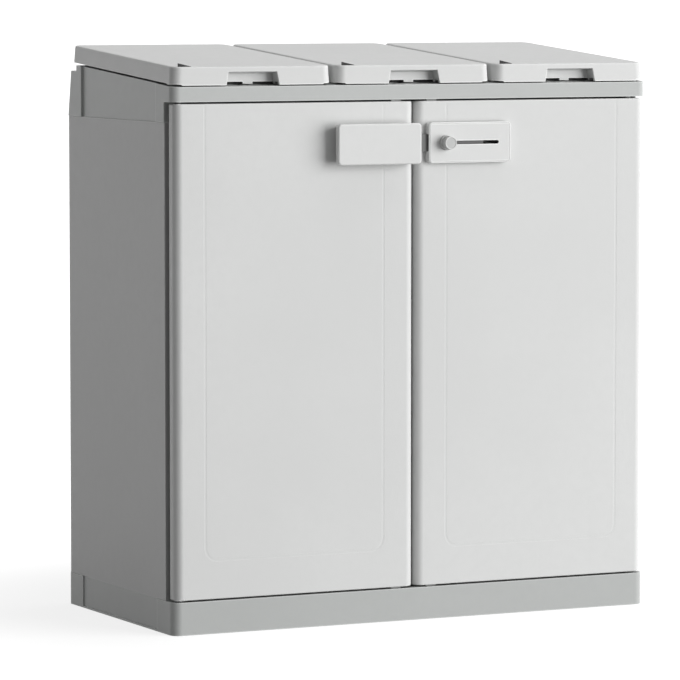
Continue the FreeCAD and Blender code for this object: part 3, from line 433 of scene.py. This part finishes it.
def finish_piece(name, shape, material, body):
    """Makes a bmesh a finished piece that rides on a body."""
    bmesh.ops.remove_doubles(shape, verts=shape.verts, dist=MERGE_GAP)
    bmesh.ops.recalc_face_normals(shape, faces=shape.faces)
    put_in_order(shape)
    mesh = bpy.data.meshes.new(name)
    shape.to_mesh(mesh)
    shape.free()
    for face in mesh.polygons:
        face.use_smooth = True
    mesh.set_sharp_from_angle(angle=SMOOTH_ANGLE)
    mesh.materials.append(material)
    piece = bpy.data.objects.new(name, mesh)
    bpy.context.scene.collection.objects.link(piece)
    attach(piece, body)
    return piece


# The knob. Its ridges reach their depth a foot's height over the flange and end a top's depth
# under the face, with a plain band above them.
KNOB_RIDGES = 26
RIDGE_POINTS = 4
KNOB_HEAD = 0.0174
KNOB_SHANK = 0.0028
KNOB_FLANGE = 0.0042
KNOB_ROUND = 0.0007
KNOB_NECK = 0.0122
KNOB_FACE = 0.0117
KNOB_FLUTE = 0.0014
KNOB_FOOT = 0.0014
KNOB_TOP = 0.0028
KNOB_BAND = 0.0014
KNOB_STEP = 0.00014
KNOB_LIP = 0.0012
KNOB_DISH = 0.0006


def add_ring(shape, radius, height, flute):
    """One ring of points round Z. The flute draws every other pair of them in."""
    points = RIDGE_POINTS * KNOB_RIDGES
    verts = bmesh.ops.create_circle(shape, segments=points, radius=radius)["verts"]
    for place, vert in enumerate(verts):
        if place % RIDGE_POINTS >= RIDGE_POINTS / 2:
            vert.co *= 1 - flute / radius
        vert.co.z = height
    ring = set(verts)
    return [edge for edge in shape.edges if ring.issuperset(edge.verts)]


def stack_rings(shape, rings):
    """A turned shape: rings of radius, height and flute, joined in order and closed."""
    loops = [add_ring(shape, radius, height, flute) for radius, height, flute in rings]
    for lower, upper in zip(loops, loops[1:]):
        bmesh.ops.bridge_loops(shape, edges=lower + upper)
    for end in (loops[0], loops[-1]):
        bmesh.ops.contextual_create(shape, geom=end)


def make_knob():
    """The lock's knob: a flange at the back, a ridged grip and a dished face."""
    low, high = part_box("lock_knob")
    radius = (high[0] - low[0]) / 2
    length = high[1] - low[1]
    head = length - KNOB_HEAD
    flange = head + KNOB_FLANGE
    lip = KNOB_FACE - KNOB_ROUND
    rings = [
        (KNOB_SHANK, 0.0, 0.0),
        (KNOB_SHANK, head, 0.0),
        (radius - KNOB_ROUND, head, 0.0),
        (radius, head + KNOB_ROUND, 0.0),
        (radius, flange - KNOB_ROUND, 0.0),
        (radius - KNOB_ROUND, flange, 0.0),
        (KNOB_NECK - KNOB_FLUTE, flange, 0.0),
        (KNOB_NECK, flange + KNOB_FOOT, KNOB_FLUTE),
        (KNOB_FACE, length - KNOB_TOP, KNOB_FLUTE),
        (KNOB_FACE - KNOB_STEP, length - KNOB_BAND, 0.0),
        (KNOB_FACE - KNOB_STEP, length - KNOB_ROUND, 0.0),
        (lip, length, 0.0),
        (lip - KNOB_LIP, length, 0.0),
        (lip - KNOB_LIP - KNOB_ROUND, length - KNOB_DISH, 0.0),
    ]
    shape = bmesh.new()
    stack_rings(shape, rings)
    turn = Matrix.Rotation(math.radians(90), 3, "X")
    bmesh.ops.rotate(shape, verts=shape.verts, cent=(0, 0, 0), matrix=turn)
    middle = ((low[0] + high[0]) / 2, high[1], (low[2] + high[2]) / 2)
    bmesh.ops.translate(shape, verts=shape.verts, vec=middle)
    knob = finish_piece("knob", shape, knob_plastic, "lock_bolt_body")
    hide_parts("lock_knob")


# The doors' inner halves
PANEL_COLUMNS = 2
PANEL_ROWS = 5
PANEL_BORDER = 0.048
PANEL_RIB = 0.024
PANEL_CORNER = 0.014
PANEL_SLOPE = 0.0045
PANEL_DEPTH = 0.0045
INNER_WALL = 0.0022
INNER_CORNER = 0.008
INNER_BEVEL = 0.0010
BEVEL_SEGMENTS = 2
CORNER_SEGMENTS = 6


def outline(shape, low, high, back, corner):
    """The edges of an upright rounded rectangle, between two corners in X and Z."""
    verts = bmesh.ops.create_grid(shape, x_segments=1, y_segments=1, size=0.5)["verts"]
    turn = Matrix.Rotation(math.radians(-90), 3, "X")
    bmesh.ops.rotate(shape, verts=verts, cent=(0, 0, 0), matrix=turn)
    bmesh.ops.scale(shape, verts=verts, vec=(high[0] - low[0], 1, high[1] - low[1]))
    middle = ((low[0] + high[0]) / 2, back, (low[1] + high[1]) / 2)
    bmesh.ops.translate(shape, verts=verts, vec=middle)
    before = set(shape.edges) - {edge for vert in verts for edge in vert.link_edges}
    bmesh.ops.bevel(
        shape,
        geom=verts,
        offset=corner,
        segments=CORNER_SEGMENTS,
        profile=0.5,
        affect="VERTICES",
        material=-1,
    )
    edges = [edge for edge in shape.edges if edge not in before]
    faces = {face for edge in edges for face in edge.link_faces}
    bmesh.ops.delete(shape, geom=list(faces), context="FACES_ONLY")
    return edges


def drawn(shape, edges, step, inset=0.0, middle=(0.0, 0.0)):
    """Draws a loop of edges out along Y and in towards a middle, and gives its new edges."""
    made = bmesh.ops.extrude_edge_only(shape, edges=edges)["geom"]
    verts = [item for item in made if isinstance(item, bmesh.types.BMVert)]
    bmesh.ops.translate(shape, verts=verts, vec=(0, step, 0))
    for vert in verts:
        vert.co.x -= math.copysign(inset, vert.co.x - middle[0])
        vert.co.z -= math.copysign(inset, vert.co.z - middle[1])
    return [item for item in made if isinstance(item, bmesh.types.BMEdge)]


def make_inner_door(node, body):
    """A door's inner half: a pan with rows of sunk panels in its face."""
    low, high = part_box(node)
    shape = bmesh.new()
    rim = outline(shape, (low[0], low[2]), (high[0], high[2]), high[1], INNER_CORNER)
    edges = list(rim)
    panels = []
    width = (high[0] - low[0] - 2 * PANEL_BORDER) / PANEL_COLUMNS
    height = (high[2] - low[2] - 2 * PANEL_BORDER) / PANEL_ROWS
    half_width = (width - PANEL_RIB) / 2
    half_height = (height - PANEL_RIB) / 2
    for column in range(PANEL_COLUMNS):
        for row in range(PANEL_ROWS):
            x = low[0] + PANEL_BORDER + (column + 0.5) * width
            z = low[2] + PANEL_BORDER + (row + 0.5) * height
            ends = ((x - half_width, z - half_height), (x + half_width, z + half_height))
            loop = outline(shape, *ends, high[1], PANEL_CORNER)
            panels.append((loop, (x, z)))
            edges += loop
    bmesh.ops.triangle_fill(shape, use_beauty=True, edges=edges, normal=(0, 1, 0))
    for loop, middle in panels:
        floor = drawn(shape, loop, -PANEL_DEPTH, PANEL_SLOPE, middle)
        bmesh.ops.contextual_create(shape, geom=floor)
    drawn(shape, rim, low[1] - high[1])
    put_in_order(shape)
    # The face has to point back, so that the wall grows forwards from it.
    bmesh.ops.recalc_face_normals(shape, faces=shape.faces)
    if max(shape.faces, key=lambda face: face.calc_area()).normal.y < 0:
        bmesh.ops.reverse_faces(shape, faces=shape.faces)
    bmesh.ops.solidify(shape, geom=shape.faces, thickness=INNER_WALL)
    name = node.replace("liner", "inner_half")
    piece = finish_piece(name, shape, light_plastic, body)
    bevel = piece.modifiers.new("soft edges", "BEVEL")
    bevel.width = INNER_BEVEL
    bevel.segments = BEVEL_SEGMENTS
    bevel.limit_method = "ANGLE"
    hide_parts(node)


# Floor and background. The floor lightens from near the object outwards, until it meets the
# white of the world.
WHITE = (1.0, 1.0, 1.0)
FLOOR_REACH = 200.0
FLOOR_WHITE = 0.60
FLOOR_GLOW = 1.28
FLOOR_NEAR = 0.55
FLOOR_FAR = 1.5
FLOOR_BOUNCE = 0.34
WORLD_LIGHT = 0.24


def make_floor():
    """A pale floor that keeps the object's shadow and is clear when seen from below."""
    mesh = bpy.data.meshes.new("floor")
    shape = bmesh.new()
    bmesh.ops.create_grid(shape, x_segments=1, y_segments=1, size=FLOOR_REACH)
    shape.to_mesh(mesh)
    shape.free()
    floor = bpy.data.objects.new("floor", mesh)
    floor.visible_shadow = False
    bpy.context.scene.collection.objects.link(floor)
    graph = Graph(bpy.data.materials.new("floor"))
    direct = graph.direct()
    tone = graph.blend(direct, tinted(WHITE, FLOOR_BOUNCE), tinted(WHITE, 1.0))
    matt = graph.node("ShaderNodeBsdfDiffuse", {}, {"Color": tone})
    values = {"Color": tinted(WHITE, 1.0), "Strength": FLOOR_GLOW}
    white = graph.node("ShaderNodeEmission", {}, values)
    far = graph.node("ShaderNodeVectorMath", {"operation": "LENGTH"}, {0: graph.place()}, "Value")
    glow = far.spread(FLOOR_NEAR, FLOOR_FAR, FLOOR_WHITE, 1.0)
    lit = graph.node("ShaderNodeMixShader", {}, {0: direct * glow, 1: matt, 2: white})
    clear = graph.node("ShaderNodeBsdfTransparent")
    below = graph.node("ShaderNodeNewGeometry", output="Backfacing")
    both = graph.node("ShaderNodeMixShader", {}, {0: below, 1: lit, 2: clear})
    mesh.materials.append(graph.finish(both))


def make_world():
    """A white world that lights the object only a little."""
    graph = Graph(bpy.data.worlds.new("studio"), "ShaderNodeOutputWorld")
    ambient, white = (
        graph.node("ShaderNodeBackground", {}, {"Color": tinted(WHITE, 1.0), "Strength": strength})
        for strength in (WORLD_LIGHT, 1.0)
    )
    values = {0: graph.direct(), 1: ambient, 2: white}
    bpy.context.scene.world = graph.finish(graph.node("ShaderNodeMixShader", {}, values))


make_camera()
make_lights()
make_world()
make_floor()
paint_all()
make_knob()
make_inner_door("door_left_liner", "door_left")
make_inner_door("door_right_liner", "door_right")
bpy.context.scene.view_settings.view_transform = "Standard"
